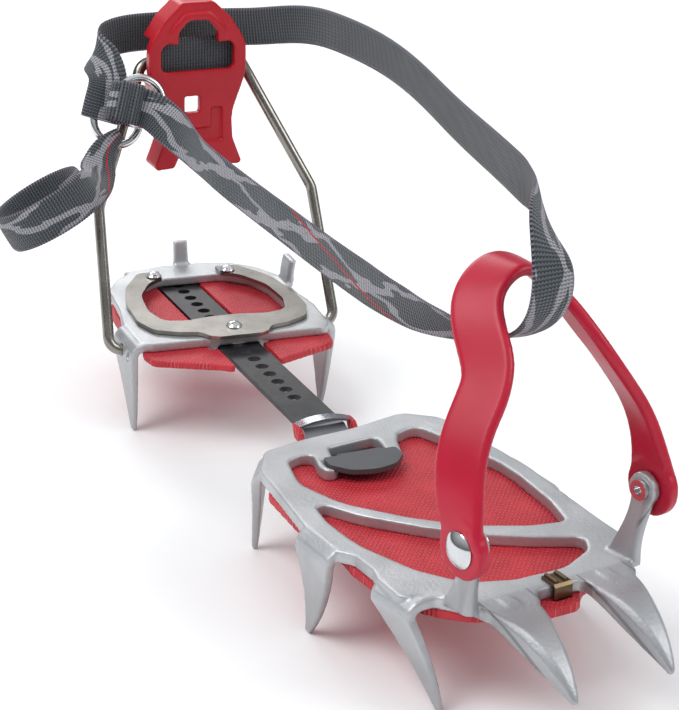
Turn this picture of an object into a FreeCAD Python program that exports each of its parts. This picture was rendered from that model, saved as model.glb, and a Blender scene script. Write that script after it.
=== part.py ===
"""Strap-on aluminium crampon for one boot: toe section, linking bar, heel section, bails and strap.

Frame: millimetres, +X to the toe, +Y to the wearer's left, +Z up. Z = 0 is the plane through the
tips of the downward points, and the Z axis goes through the middle of the T slot in the toe frame.
The heel pieces are drawn with the linking bar along X, then swung about the T slot by BAR_SWING.
"""
import FreeCAD, Part
import os
from math import sin, cos, tan, pi, radians

V = FreeCAD.Vector

# ---------------------------------------------------------------- driving dimensions
TOE_TOP = 36.0             # top face of the toe frame above the tips of the points
TOE_THICK = 4.2            # toe frame plate
TOE_PLATE_THICK = 3.2      # snow plate under the toe frame
HEEL_TOP = 38.0            # top face of the heel frame
HEEL_THICK = 3.6           # heel frame plate
HEEL_SKEW = -4.3           # heel plate's turn on the bar, degrees
PIN_X = -115.0             # lock pin
LOCK_RIVETS = (-178.5, 15.8)    # lock plate's rivets: x, and y on both sides
LOCK_BOTTOM = HEEL_TOP + 0.35   # lock plate clear of the frame so that it can lift
LOCK_THICK = 1.5
WALL_IN = 8.6              # inner face of the channel walls from the bar's middle
BAR_SWING = -7.3           # linking bar's swing about the T slot, degrees
CENTRE_Y = 3.1             # toe frame's own centre line, left of the T slot
CLIP_FRONT = 112.7         # front edge that the plate clip folds over
CLIP_LEFT = 0.8            # clip's near side
CLIP_WIDE = 6.6            # clip's width

BAR_WIDTH = 16.0
BAR_THICK = 2.0
BAR_TOP = 34.0             # top face of the bar under the heel frame
BAR_END = -191.0           # rear end of the bar
HOLE_PITCH = 8.0           # adjustment holes
HOLE_D = 5.0               # hole diameter
HOLES = 17                 # holes in the row
FIRST_HOLE = -53.5         # front hole's centre
NECK_GAP = 1.1             # bar's neck below the rear crossbar

BAIL_AXIS = V(111.6, 3.1, 58.6)   # middle of the toe bail's hinge axis
BAIL_SKEW = 5.7            # hinge axis turned from Y, degrees
POST_INNER = 32.2          # inner face of each post from the middle, along the hinge axis
POST_THICK = 3.0
RIVET_R = 2.5              # toe bail rivet shank
RIVET_HEAD = 5.6           # toe bail rivet head
BAIL_WIDTH = 16.6          # toe bail's strip, at the hinge
EAR_R = 9.3                # round ear at each hinge
BAIL_THICK = 3.8           # strip thickness
BAIL_TOE_IN = 0.25         # how far the legs' front edges lean together

WIRE_D = 4.3               # heel bail wire
WIRE_X = -125.6            # wire's hinge axis, in the bar's frame
WIRE_Z = 31.8
SPARE_HOLE = 7.8           # second hole ahead of the wire's hole
SPARE_R = 1.7              # its radius
WIRE_TILT = 21.0           # lean of the heel bail back from upright, degrees
WIRE_RISE = 109.5          # hinge axis to the top bar along the bail
RUNNING = 0.07             # radial clearance of a hinge

STRAP_W = 15.0             # webbing
STRAP_T = 1.4              # webbing thickness
OUT = "parts"
COIL_CENTRE = V(-137.0, -52.0, 91.0)
COIL_UP = V(-0.252, -0.426, 0.869)
COIL_SIDE = V(0.280, 0.828, 0.485)
COIL_R = 18.0              # radius of the strap end's open coil
RING_R = 9.0               # buckle ring, to the middle of its wire
RING_WIRE = 3.0            # buckle ring wire diameter

TOE_OUTLINE = [(-19.5, 31, 5), (-9, 42.2, 9), (38, 45, 60), (80, 41.6, 60), (99, 41.2, 8), (110, 32, 10),
               (118, 29.3, 6), (118, 12, 1), (112.5, 12.2, 4), (111.5, -4.5, 4), (118, -7.5, 1),
               (118, -24, 5), (109, -26.5, 6), (101, -33, 4), (97, -35, 3), (97, -42.5, 4),
               (83, -42.3, 5), (78, -40.5, 6), (66, -40.5, 6), (62, -43.8, 5), (40, -43.5, 10),
               (18, -39.5, 20), (0, -36.5, 10), (-13, -28, 6), (-15.5, -12, 20), (-16, 10, 20)]
REAR_WINDOW = [(-7.5, 29.5, 4), (8, 34, 14), (36, 38.8, 40), (64, 35.6, 30), (78.6, 31.4, 3), (75.5, 19, 20),
               (66, 1.5, 30), (52, -12, 30), (34, -25, 30), (15, -30, 16), (-2.5, -24.5, 5), (-4.5, -18.5, 2.5),
               (-3, -14.5, 2.5), (6, -17.5, 3), (11, -17, 2.5), (11, -12.5, 2), (0, -9, 2.5), (-5.5, -7, 2),
               (-6, 12, 2), (0, 11, 2.5), (9, 8.5, 2), (9.5, 13.5, 2.5), (1, 17, 4), (-4.5, 20.5, 3)]
T_TOP = TOE_TOP + 0.9       # top of the bar's T head
T_HEAD = [(4.6, -13.4, 1.0), (4.6, 13.4, 1.0), (10.5, 13.6, 1.6), (16.8, 8.5, 7), (19.2, 0, 14),
          (16.8, -8.5, 7), (10.5, -13.6, 1.6)]
FRONT_WINDOW = [(90, 29.5, 3.5), (97.5, 25.5, 8), (103.8, 12, 14), (103, -6, 14), (97.5, -20, 8), (84, -29, 20),
                (62, -35.6, 30), (44, -36.2, 16), (27, -33, 2.5), (44, -24.5, 30), (60, -11.5, 30),
                (73, 1.5, 30), (82, 14.5, 30)]
PLATE_MID = TOE_TOP - TOE_THICK / 2.0
BAIL_RUN = [(0.0, 37.4, 0.0), (-2.6, 37.3, 11.0), (-6.4, 34.6, 24.0), (-9.2, 28.3, 35.0), (-12.2, 21.3, 45.5),
            (-20.5, 17.6, 54.5), (-28.0, 12.0, 63.5), (-30.0, 0.0, 69.5)]
HEEL_HALF = [(-109, 35.5, 4), (-113, 38.4, 4), (-136, 39.6, 4), (-148, 37.5, 8),
             (-160, 36.8, 6), (-172, 36.5, 6), (-184, 30.5, 10), (-193, 21, 12), (-196, 8, 12)]
HEEL_WINDOW = [(-126, 14, 4), (-127, 26, 6), (-140, 28.5, 10), (-158, 27.5, 12), (-172, 23.5, 10), (-180, 14, 10)]
LEVER_FRONT = 9.8          # lever's front face ahead of the wire's top bar
LEVER_WALL = 3.0
UP = V(0, 0, 1)
FOLD_R = 2.75              # sewn fold round the upper ring's wire, to the middle of the webbing
FOLD_MID = 13.4           # upper ring's wire in front of the bail


# ---------------------------------------------------------------- helpers
def save(name, shape):
    """Write one node's STEP file."""
    solids = shape.Solids
    assert solids and shape.isValid(), name
    body = solids[0] if len(solids) == 1 else Part.Compound(solids)
    body.exportStep(os.path.join(OUT, name + ".step"))
    box = body.BoundBox
    print("%-20s solids %2d  volume %9.1f  z %7.2f .. %7.2f" % (name, len(solids), body.Volume,
                                                            box.ZMin, box.ZMax))


def rounded_wire(corners, z=0.0):
    """Closed wire through (x, y, radius) corners, each rounded with a tangent arc."""
    count = len(corners)
    starts, ends, mids = [], [], []
    for i in range(count):
        before, here, after = corners[i - 1], corners[i], corners[(i + 1) % count]
        p = V(here[0], here[1], z)
        a = (V(before[0], before[1], z) - p)
        b = (V(after[0], after[1], z) - p)
        la, lb = a.Length, b.Length
        a.normalize()
        b.normalize()
        if (a + b).Length < 1e-3:
            continue
        half = a.getAngle(b) / 2.0
        reach = min(here[2] / tan(half), 0.48 * la, 0.48 * lb)
        radius = reach * tan(half)
        bisector = (a + b).normalize()
        centre = p + bisector * (radius / sin(half))
        starts.append(p + a * reach)
        ends.append(p + b * reach)
        mids.append(centre - bisector * radius)
    edges = []
    for i in range(len(mids)):
        edges.append(Part.Arc(starts[i], mids[i], ends[i]).toShape())
        following = starts[(i + 1) % len(mids)]
        if (following - ends[i]).Length > 1e-6:
            edges.append(Part.LineSegment(ends[i], following).toShape())
    return Part.Wire(edges)


def slab(corners, bottom, top):
    """Plate between two heights with a rounded outline."""
    return Part.Face(rounded_wire(corners, bottom)).extrude(V(0, 0, top - bottom))


def section(centre, along, across, length, thick, chamfer=0.28):
    """Chamfered rectangle, length along one direction and thick along the other."""
    a, b = length / 2.0, thick / 2.0
    c = min(a, b) * chamfer * 2
    offsets = [(-a + c, -b), (a - c, -b), (a, -b + c), (a, b - c),
               (a - c, b), (-a + c, b), (-a, b - c), (-a, -b + c)]
    points = [centre + along * u + across * v for u, v in offsets]
    return Part.makePolygon(points + [points[0]])


def loft(wires, ruled=False):
    return Part.makeLoft(wires, True, ruled)


def cylinder(radius, start, end):
    axis = end - start
    return Part.makeCylinder(radius, axis.Length, start, axis)


def grown(corners, margin):
    """Outline pushed out from its own middle by about margin on every side."""
    xs, ys = [c[0] for c in corners], [c[1] for c in corners]
    mx, my = (min(xs) + max(xs)) / 2.0, (min(ys) + max(ys)) / 2.0
    fx, fy = 1.0 + 2 * margin / (max(xs) - min(xs)), 1.0 + 2 * margin / (max(ys) - min(ys))
    return [(mx + (x - mx) * fx, my + (y - my) * fy, r) for x, y, r in corners]


def fuse(shapes):
    """One clean solid from overlapping shapes."""
    whole = shapes[0]
    for other in shapes[1:]:
        whole = whole.fuse(other)
    return whole.removeSplitter()


def to_heel(shape):
    """Bar frame to the crampon's frame."""
    moved = shape.copy()
    moved.rotate(V(0, 0, 0), V(0, 0, 1), BAR_SWING)
    return moved


def to_bail(shape):
    """Toe bail frame (X forward, Y along the hinge, origin on its middle) to the crampon's frame."""
    moved = shape.copy()
    moved.rotate(V(0, 0, 0), V(0, 0, 1), BAIL_SKEW)
    moved.translate(BAIL_AXIS)
    return moved


def tooth(root, outward, along, tip, width, lead=0.0, thick=3.8):
    """Down-turned point: a tongue that leaves the plate, bends down and tapers to its tip.

    root is on the plate's mid plane at its edge, and lead bows the point along the edge.
    """
    up = V(0, 0, 1)
    bend = 4.0
    flat = 0.14
    wires = [section(root - outward * 4.5, along, up, width * 1.1, thick, flat)]
    for angle in (0, 30, 60, 90):
        radial = up * cos(radians(angle)) + outward * sin(radians(angle))
        centre = root - up * bend + radial * bend
        wires.append(section(centre, along, radial, width * (1.06 - 0.10 * angle / 90.0), thick, flat))
    shin = root - up * bend + outward * bend
    for share, part in [(0.16, 0.84), (0.34, 0.68), (0.52, 0.53), (0.70, 0.39), (0.86, 0.26), (1.0, 0.13)]:
        centre = shin + (tip - shin) * share + along * (lead * sin(pi * share))
        wires.append(section(centre, along, outward, width * part, thick * (1.0 - 0.45 * share), flat))
    return loft(wires, True)


# ---------------------------------------------------------------- toe frame


def toe_frame():
    """Cast toe frame: plate with two windows, T slot lugs, six side points, two front points, posts."""
    bottom = TOE_TOP - TOE_THICK
    plate = slab(TOE_OUTLINE, bottom, TOE_TOP)
    plate = plate.cut(slab(REAR_WINDOW, bottom - 1, TOE_TOP + 1))
    plate = plate.cut(slab(FRONT_WINDOW, bottom - 1, TOE_TOP + 1))
    pieces = [plate]
    # side points: root on the edge, outward direction, tip, width and forward lead
    near = [(V(-5.0, -29.5, PLATE_MID), V(-0.62, -0.785, 0), V(-13.2, -31.0, 0), 14.0, -1.5),
            (V(51.5, -41.5, PLATE_MID), V(0, -1, 0), V(46.0, -43.5, 0), 20.0, 2.5),
            (V(91.0, -38.0, PLATE_MID), V(0.1, -0.995, 0), V(105.0, -33.0, 0), 19.0, 2.0)]
    far = [(V(-13.5, 36.0, PLATE_MID), V(-0.72, 0.69, 0), V(-17.5, 40.0, 0), 13.0, 0.0),
           (V(44.0, 42.5, PLATE_MID), V(0, 1, 0), V(41.0, 46.0, 0), 20.0, 2.0),
           (V(78.0, 39.8, PLATE_MID), V(0.05, 0.999, 0), V(72.0, 43.0, 0), 15.0, 0.0)]
    for root, outward, tip, width, lead in near + far:
        outward.normalize()
        along = V(-outward.y, outward.x, 0)
        if along.x < 0:
            along = along * -1
        pieces.append(tooth(root, outward, along, tip, width, lead))
    for side in (-1, 1):
        pieces.append(front_point(side))
        pieces.append(to_bail(bail_post(side)))
    whole = fuse(pieces)
    for side in (-1, 1):
        start = V(0, side * (POST_INNER - 4), 0)
        end = V(0, side * (POST_INNER + POST_THICK + 4), 0)
        whole = whole.cut(to_bail(cylinder(RIVET_R + RUNNING, start, end)))
    return whole.cut(to_heel(slab(grown(T_HEAD, 0.5), T_TOP - 1.8 - 0.35, TOE_TOP + 1)))


def front_point(side):
    """Front point: a blade that leaves the plate level and hooks down, with a raised midrib."""
    y_root = CENTRE_Y - 1.0 + side * 18.3
    y_tip = CENTRE_Y + side * 17.6
    # distance along the point, height of its middle, width, depth
    run = [(0.0, 0.0, 17.5, 4.2), (9.0, -0.2, 17.0, 4.6), (16.0, -1.4, 15.5, 6.6), (23.0, -4.0, 12.5, 8.6),
           (30.0, -7.4, 9.2, 8.4), (36.5, -11.4, 5.6, 5.6), (41.5, -15.7, 2.0, 2.0)]
    x_root = 104.5
    wires = []
    for i, (reach, fall, width, depth) in enumerate(run):
        share = reach / run[-1][0]
        slope = radians(0 if i < 1 else 8 + 22 * share)
        normal = V(sin(slope), 0, cos(slope))
        centre = V(x_root + reach, y_root + (y_tip - y_root) * share, PLATE_MID + fall)
        wires.append(section(centre, V(0, 1, 0), normal, width, depth, 0.22))
    blade = loft(wires)
    rib = []
    for reach, fall, width, lift in [(6.0, 1.6, 5.0, 1.4), (14.0, 0.9, 5.5, 2.2), (24.0, -3.2, 3.4, 2.0),
                                     (31.0, -7.6, 1.6, 1.0)]:
        share = reach / run[-1][0]
        slope = radians(8 + 22 * share)
        normal = V(sin(slope), 0, cos(slope))
        centre = V(x_root + reach, y_root + (y_tip - y_root) * share, PLATE_MID + fall)
        rib.append(section(centre, V(0, 1, 0), normal, width, lift, 0.3))
    return blade.fuse(loft(rib))


def bail_post(side):
    """Upright ear on the toe frame that carries one end of the toe bail, in the bail's frame."""
    fore = V(1, 0, 0)
    out = V(0, side, 0)
    mid = POST_INNER + POST_THICK / 2.0
    foot = PLATE_MID - BAIL_AXIS.z
    back = 7.5 if side < 0 else 3.5
    wires = [section(V(-back, side * (mid - 3.0), foot), fore, out, 12.5, 6.0),
             section(V(-back * 0.85, side * (mid - 2.4), foot + 5.0), fore, out, 10.4, 4.6),
             section(V(-back * 0.45, side * (mid - 1.2), foot + 12.5), fore, out, 8.0, 3.4),
             section(V(-back * 0.12, side * mid, -4.5), fore, out, 8.4, POST_THICK),
             section(V(0, side * mid, 0.5), fore, out, 9.8, POST_THICK)]
    leg = loft(wires)
    head = cylinder(5.3, V(0, side * POST_INNER, 0), V(0, side * (POST_INNER + POST_THICK), 0))
    return leg.fuse(head)


# ---------------------------------------------------------------- toe plate
def toe_plate():
    """Anti-snow plate under the toe frame, with two tabs that rise beside the bar into the keeper."""
    top = TOE_TOP - TOE_THICK
    outline = [(-20, 22, 4), (-14, 33, 6), (2, 40.5, 10), (30, 42.2, 20), (60, 41.5, 6),
               (72, 38.5, 3), (92, 36, 4), (106, 28, 8), (112, 11, 8), (118, 8, 5), (117.5, -6, 6), (110, -12, 6),
               (110, -24, 8), (102, -32, 6), (97, -35.5, 3), (84, -35, 3), (80, -40.8, 5), (66, -41, 5),
               (60, -40, 3), (42, -40, 3), (38, -41.8, 6), (8, -38.2, 8), (2, -32, 3), (-8, -25.5, 3),
               (-15, -23, 3), (-20, -17, 4)]
    plate = slab(outline, top - TOE_PLATE_THICK, top)
    channel = slab([(-30, -9.2, 0.5), (4, -9.2, 0.5), (4, 9.2, 0.5), (-30, 9.2, 0.5)], top - 6, top + 1)
    channel.rotate(V(0, 0, 0), V(0, 0, 1), BAR_SWING)
    plate = plate.cut(channel)
    notch = Part.makeBox(1.4, CLIP_WIDE + 0.4, 10, V(CLIP_FRONT - 0.1, CLIP_LEFT - 0.2, top - 5))
    plate = plate.cut(notch).cut(front_point(-1)).cut(front_point(1))
    for side in (-1, 1):
        y = side * 10.3
        wires = [section(V(-17.5, y, 30.2), V(1, 0, 0), V(0, 1, 0), 10.0, 2.2),
                 section(V(-22.5, y, 31.0), V(1, 0, 0), V(0, 1, 0), 8.0, 2.2),
                 section(V(-26.0, y, BAR_TOP + 1.7), V(1, 0, 0), V(0, 1, 0), 6.4, 2.0)]
        plate = plate.fuse(to_heel(loft(wires, True)))
    return plate.cut(plate_keeper()).removeSplitter()


# ---------------------------------------------------------------- plate keeper and clips
def plate_keeper():
    """Arched steel strip over the linking bar that holds the toe plate's rear tabs together."""
    outer_r, inner_r = 30.0, 29.2
    centre = V(-29.0, 0, BAR_TOP + 3.2 - outer_r)
    ring = Part.makeCylinder(outer_r, 4.6, centre, V(1, 0, 0))
    ring = ring.cut(Part.makeCylinder(inner_r, 6, centre - V(1, 0, 0), V(1, 0, 0)))
    keep = Part.makeBox(4.6, 22.0, 12.0, V(-29.0, -11.0, BAR_TOP - 1.2))
    return to_heel(ring.common(keep))


def front_clip():
    """Small folded clip over the frame's front edge, its leg down in a slot of the toe plate."""
    left, right = CLIP_LEFT, CLIP_LEFT + CLIP_WIDE
    top, bottom = TOE_TOP, TOE_TOP - TOE_THICK - 1.6
    x0 = CLIP_FRONT - 6.0
    outer = slab_xz([(x0, top + 0.05), (x0, top + 0.9), (CLIP_FRONT + 0.2, top + 0.9), (CLIP_FRONT + 1.0, top),
                     (CLIP_FRONT + 1.0, bottom), (CLIP_FRONT + 0.15, bottom), (CLIP_FRONT + 0.15, top + 0.05)],
                    left, right)
    for y in (left + 1.5, right - 1.5):
        outer = outer.fuse(cylinder(0.8, V(x0 + 0.2, y, top + 0.95), V(CLIP_FRONT - 0.3, y, top + 0.95)))
    return outer.removeSplitter()


def slab_xz(corners, y0, y1):
    points = [V(x, y0, z) for x, z in corners]
    return Part.Face(Part.makePolygon(points + [points[0]])).extrude(V(0, y1 - y0, 0))


# ---------------------------------------------------------------- toe bail


def bail_band(points, widths, thick):
    """Flat band lofted through points, its width fore and aft, the front edges leaning together."""
    curve = Part.BSplineCurve()
    curve.interpolate(points)
    first, last = curve.FirstParameter, curve.LastParameter
    wires = []
    count = len(widths)
    for i, width in enumerate(widths):
        at = first + (last - first) * i / (count - 1.0)
        run = curve.tangent(at)[0]
        here = curve.value(at)
        toe_in = -BAIL_TOE_IN * max(-1.0, min(1.0, here.y / 14.0)) * max(0.0, min(1.0, (here.z - 5.0) / 12.0))
        fore = V(1, toe_in, 0)
        across = (fore - run * fore.dot(run)).normalize()
        out = run.cross(across)
        wires.append(section(here, across, out, width, thick, 0.3))
    return loft(wires)


def toe_bail():
    """Springy plastic toe bail: one flat band from ear to ear, drawn in at the waist and leant back."""
    right = [V(u, -v, w) for u, v, w in BAIL_RUN]
    left = [V(u, v, w) for u, v, w in reversed(BAIL_RUN[:-1])]
    widths = [BAIL_WIDTH + 1.5] + [BAIL_WIDTH] * 23 + [BAIL_WIDTH + 1.5]
    band = bail_band(right + left, widths, BAIL_THICK)
    pieces = [band]
    for side in (-1, 1):
        inner = POST_INNER + POST_THICK + 0.3
        eye = cylinder(EAR_R, V(0, side * inner, 0), V(0, side * (inner + BAIL_THICK), 0))
        pieces.append(eye)
    whole = fuse(pieces)
    for side in (-1, 1):
        whole = whole.cut(cylinder(RIVET_R + RUNNING, V(0, side * 28, 0), V(0, side * 46, 0)))
        seat = POST_INNER + POST_THICK + 0.3 + BAIL_THICK
        whole = whole.cut(cylinder(RIVET_HEAD + 0.3, V(0, side * seat, 0), V(0, side * 48, 0)))
        whole = whole.cut(Part.makeBox(30, POST_INNER + POST_THICK + 0.3 - 20, 20,
                                       V(-15, 20 if side > 0 else -(POST_INNER + POST_THICK + 0.3), -10)))
    return to_bail(whole)


def bail_rivets():
    """Two domed rivets on the toe bail's hinge axis, formed over inside the ears."""
    rivets = []
    outer = POST_INNER + POST_THICK + 0.3 + BAIL_THICK
    for side in (-1, 1):
        shank = cylinder(RIVET_R, V(0, side * (POST_INNER - 1.2), 0), V(0, side * (outer + 0.4), 0))
        tail = cylinder(3.3, V(0, side * (POST_INNER - 1.3), 0), V(0, side * (POST_INNER - 0.05), 0))
        hollow = cylinder(1.5, V(0, side * (POST_INNER - 1.4), 0), V(0, side * (POST_INNER + 1.0), 0))
        dome = domed_head(V(0, side * (outer + 0.15), 0), V(0, side, 0), RIVET_HEAD, 2.2)
        rivets.append(shank.fuse(tail).fuse(dome).cut(hollow).removeSplitter())
    return to_bail(Part.Compound(rivets))


def domed_head(base, axis, radius, rise):
    """Spherical cap with a short straight rim."""
    ball = (radius * radius + rise * rise) / (2.0 * rise)
    sphere = Part.makeSphere(ball, base - axis * (ball - rise) + axis * 0.3)
    cap = sphere.common(cylinder(radius, base + axis * 0.3, base + axis * (rise + 1.0)))
    return cap.fuse(cylinder(radius, base, base + axis * 0.3))


# ---------------------------------------------------------------- linking bar
def linking_bar():
    """Spring steel bar: half-moon T head on the lugs, neck under the crossbar, flat run with holes."""
    half = BAR_WIDTH / 2.0
    head = slab(T_HEAD, T_TOP - 1.8, T_TOP)
    neck = TOE_TOP - TOE_THICK - NECK_GAP
    # side profile of neck and run: (x, height of the top face)
    profile = [(8.0, T_TOP), (3.6, T_TOP), (-1.5, neck), (-17.0, neck), (-26.5, BAR_TOP), (BAR_END, BAR_TOP)]
    lower = [(x, z - BAR_THICK) for x, z in profile]
    lower[0] = (8.0, T_TOP - 1.8)
    body = slab_xz(profile + lower[::-1], -half, half)
    bar = head.fuse(body).removeSplitter()
    for i in range(HOLES):
        x = FIRST_HOLE - i * HOLE_PITCH
        bar = bar.cut(cylinder(HOLE_D / 2.0, V(x, 0, BAR_TOP - 4), V(x, 0, BAR_TOP + 4)))
    tail = slab([(BAR_END - 1, -half - 1, 0.1), (BAR_END + 12, -half - 1, 0.1), (BAR_END + 12, half + 1, 0.1),
                 (BAR_END - 1, half + 1, 0.1)], BAR_TOP - 5, BAR_TOP + 5)
    tail = tail.cut(slab([(BAR_END, -half, 5), (BAR_END + 40, -half, 0.1), (BAR_END + 40, half, 0.1),
                          (BAR_END, half, 5)], BAR_TOP - 6, BAR_TOP + 6))
    return to_heel(bar.cut(tail).removeSplitter())


# ---------------------------------------------------------------- heel frame


def skewed(shape):
    """Turn the heel plan about the lock pin: the heel section sits a little askew on the bar."""
    moved = shape.copy()
    moved.rotate(V(PIN_X, 0, 0), V(0, 0, 1), HEEL_SKEW)
    return moved


def both_sides(half):
    return half + [(x, -y, r) for x, y, r in reversed(half)]


def heel_frame():
    """Cast heel frame: plate with a window, four points, bar channel, wire holes and two boot stops."""
    bottom = HEEL_TOP - HEEL_THICK
    plate = slab(both_sides(HEEL_HALF), bottom, HEEL_TOP)
    plate = plate.cut(slab(both_sides(HEEL_WINDOW), bottom - 1, HEEL_TOP + 1))
    pieces = [skewed(plate)]
    mid = HEEL_TOP - HEEL_THICK / 2.0
    for side in (-1, 1):
        root = V(-124.5, side * 37.2, mid)
        pieces.append(tooth(root, V(0, side, 0), V(1, 0, 0), V(-120.4, side * 39.6, 0), 23.0, 0.5, 3.4))
        back = V(-193.5, side * 12.0, mid)
        pieces.append(tooth(back, V(-1, 0, 0), V(0, 1, 0), V(-195.5, side * 11.0, 0), 13.0, 0.0, 3.4))
        # channel walls and guide legs beside the bar
        x0, x1 = -124.0, -109.5
        wall = slab_xz([(x0, HEEL_TOP - 0.6), (x1, HEEL_TOP - 0.6), (x1, 28.8), (x0, 28.8)],
                       side * WALL_IN if side > 0 else side * (WALL_IN + 3.4),
                       side * (WALL_IN + 3.4) if side > 0 else side * WALL_IN)
        pieces.append(wall)
    floor_top = BAR_TOP - BAR_THICK - 0.35
    pieces.append(slab([(-124, -WALL_IN - 3.4, 0.5), (-110.5, -WALL_IN - 3.4, 0.5), (-110.5, WALL_IN + 3.4, 0.5),
                        (-124, WALL_IN + 3.4, 0.5)], 28.8, floor_top))
    # rear stop on the middle and side stop on the inner edge of the boot
    pieces.append(skewed(boot_stop(V(-193.0, 0.5, mid), V(-1, 0, 0), V(0, 1, 0), 6.4, 12.0, 1.0)))
    pieces.append(skewed(boot_stop(V(-164.5, 34.0, mid), V(0, 1, 0), V(1, 0, 0), 12.0, 12.0, 1.2)))
    whole = fuse(pieces)
    for side in (-1, 1):
        whole = whole.cut(cylinder(WIRE_D / 2.0 + RUNNING, V(WIRE_X, side * 34, WIRE_Z), V(WIRE_X, side * 46, WIRE_Z)))
        x = WIRE_X + SPARE_HOLE
        whole = whole.cut(cylinder(SPARE_R, V(x, side * 34, WIRE_Z), V(x, side * 46, WIRE_Z)))
    # clear way for the bar through the channel, and for the lock pin
    whole = whole.cut(Part.makeBox(110, 2 * WALL_IN, BAR_TOP + 0.35 - floor_top, V(-200, -WALL_IN, floor_top)))
    whole = whole.cut(cylinder(3.0, V(PIN_X, 0, BAR_TOP), V(PIN_X, 0, HEEL_TOP + 1)))
    return to_heel(whole)


def boot_stop(root, outward, along, width, rise, flare):
    """Upright tongue that keeps the boot's heel in place, curling outward at its top."""
    up = V(0, 0, 1)
    bend = 3.5
    wires = [section(root - outward * 4.0, along, up, width * 1.3, 3.0)]
    for angle in (0, 30, 60, 90):
        radial = up * -cos(radians(angle)) + outward * sin(radians(angle))
        wires.append(section(root + up * bend + radial * bend, along, radial, width * (1.25 - 0.25 * angle / 90), 3.0))
    for share in (0.35, 0.7, 1.0):
        centre = root + up * (bend + (rise - bend) * share) + outward * (bend + flare * share * share)
        wires.append(section(centre, along, outward, width * (1.0 - 0.06 * share), 2.8))
    return loft(wires, True)


# ---------------------------------------------------------------- heel plate, spring plate, pin
def heel_plate():
    """Snow plate under the heel frame, with a nose that reaches forward on both sides of the bar."""
    top = HEEL_TOP - HEEL_THICK
    half = [(-88, 9.2, 1), (-90, 12, 3), (-101, 36.5, 5), (-112, 38.0, 3), (-114, 33.0, 3), (-140, 33.0, 3),
            (-142, 38.0, 5), (-164, 37.4, 8), (-177, 33, 10), (-187, 23, 8), (-189, 5, 8)]
    plate = skewed(slab(both_sides(half), top - 2.6, top))
    way = Part.makeBox(130, 18.4, 12.0, V(-200, -9.2, 28.0))
    channel = Part.makeBox(20, 25.4, 12.0, V(-128, -12.7, 28.0))
    plate = plate.cut(way).cut(channel)
    skin = skewed(slab(both_sides(half[2:]), top - 6.2, top - 3.4))
    behind = Part.makeBox(62, 90, 9, V(-194, -45, 24))
    skin = skin.common(behind)
    for side in (-1, 1):
        rim = Part.makeBox(62, 4, 8.0, V(-194, side * 11.2 - 2, top - 6.2))
        plate = plate.fuse(rim.common(skewed(slab(both_sides(half), top - 6.2, top))))
    return to_heel(plate.fuse(skin).removeSplitter())


def spring_plate():
    """Stainless lock plate: two arms riveted at the rear, a bridge at the front that carries the pin."""
    z0, z1 = LOCK_BOTTOM, LOCK_BOTTOM + LOCK_THICK
    half_out = [(-105.2, 8.5, 1.5), (-107, 11.5, 2), (-112, 14.5, 4), (-114, 22, 4), (-119, 31, 8), (-130, 34.8, 12),
                (-150, 34.4, 16), (-168, 30.5, 20), (-184, 21.5, 4), (-184.5, 13.0, 4)]
    half_in = [(-127.5, 6, 6), (-125.5, 16, 8), (-127.5, 25, 6), (-140, 28, 12), (-158, 26.5, 20), (-172, 19.5, 14),
               (-177, 12.5, 3), (-190, 12.0, 1)]
    ring = slab(both_sides(half_out), z0, z1).cut(slab(both_sides(half_in), z0 - 1, z1 + 1))
    for side in (-1, 1):
        x, y = LOCK_RIVETS
        ring = ring.cut(cylinder(1.95, V(x, side * y, z0 - 1), V(x, side * y, z1 + 1)))
    ring = ring.cut(cylinder(1.55, V(PIN_X, 0, z0 - 1), V(PIN_X, 0, z1 + 1)))
    solids = sorted(ring.Solids, key=lambda one: -one.Volume)
    return to_heel(skewed(solids[0]))


def plate_rivets():
    """Two domed rivets that fasten the lock plate's arms to the heel frame."""
    rivets = []
    for side in (-1, 1):
        x, y = LOCK_RIVETS[0], side * LOCK_RIVETS[1]
        top = LOCK_BOTTOM + LOCK_THICK + 0.3
        shank = cylinder(1.55, V(x, y, HEEL_TOP), V(x, y, top + 0.1))
        rivets.append(shank.fuse(domed_head(V(x, y, top), V(0, 0, 1), 3.1, 1.7)).removeSplitter())
    return to_heel(skewed(Part.Compound(rivets)))


def lock_pin():
    """Riveted pin of the lock plate, standing over the bar's holes."""
    top = LOCK_BOTTOM + LOCK_THICK
    shank = cylinder(1.55, V(PIN_X, 0, BAR_TOP + 0.35), V(PIN_X, 0, top + 0.1))
    collar = cylinder(2.2, V(PIN_X, 0, BAR_TOP + 0.35), V(PIN_X, 0, LOCK_BOTTOM))
    head = domed_head(V(PIN_X, 0, top), V(0, 0, 1), 3.1, 1.7)
    return to_heel(shank.fuse(collar).fuse(head).removeSplitter())


# ---------------------------------------------------------------- heel bail and lever
def bail_point(a, b):
    """Point of the heel bail's plane: a along the hinge axis, b up the bail, in the bar's frame."""
    lean = radians(WIRE_TILT)
    return V(WIRE_X - b * sin(lean), a, WIRE_Z + b * cos(lean))


def round_path(points, radii):
    """Wire of straight runs joined by tangent arcs."""
    edges = []
    at = points[0]
    for i in range(1, len(points) - 1):
        p = points[i]
        back = (points[i - 1] - p).normalize()
        fore = (points[i + 1] - p).normalize()
        half = back.getAngle(fore) / 2.0
        radius = radii[i - 1]
        reach = radius / tan(half)
        centre = p + (back + fore).normalize() * (radius / sin(half))
        start, end = p + back * reach, p + fore * reach
        mid = centre + (p - centre).normalize() * radius
        edges.append(Part.LineSegment(at, start).toShape())
        edges.append(Part.Arc(start, mid, end).toShape())
        at = end
    edges.append(Part.LineSegment(at, points[-1]).toShape())
    return Part.Wire(edges)


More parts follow.
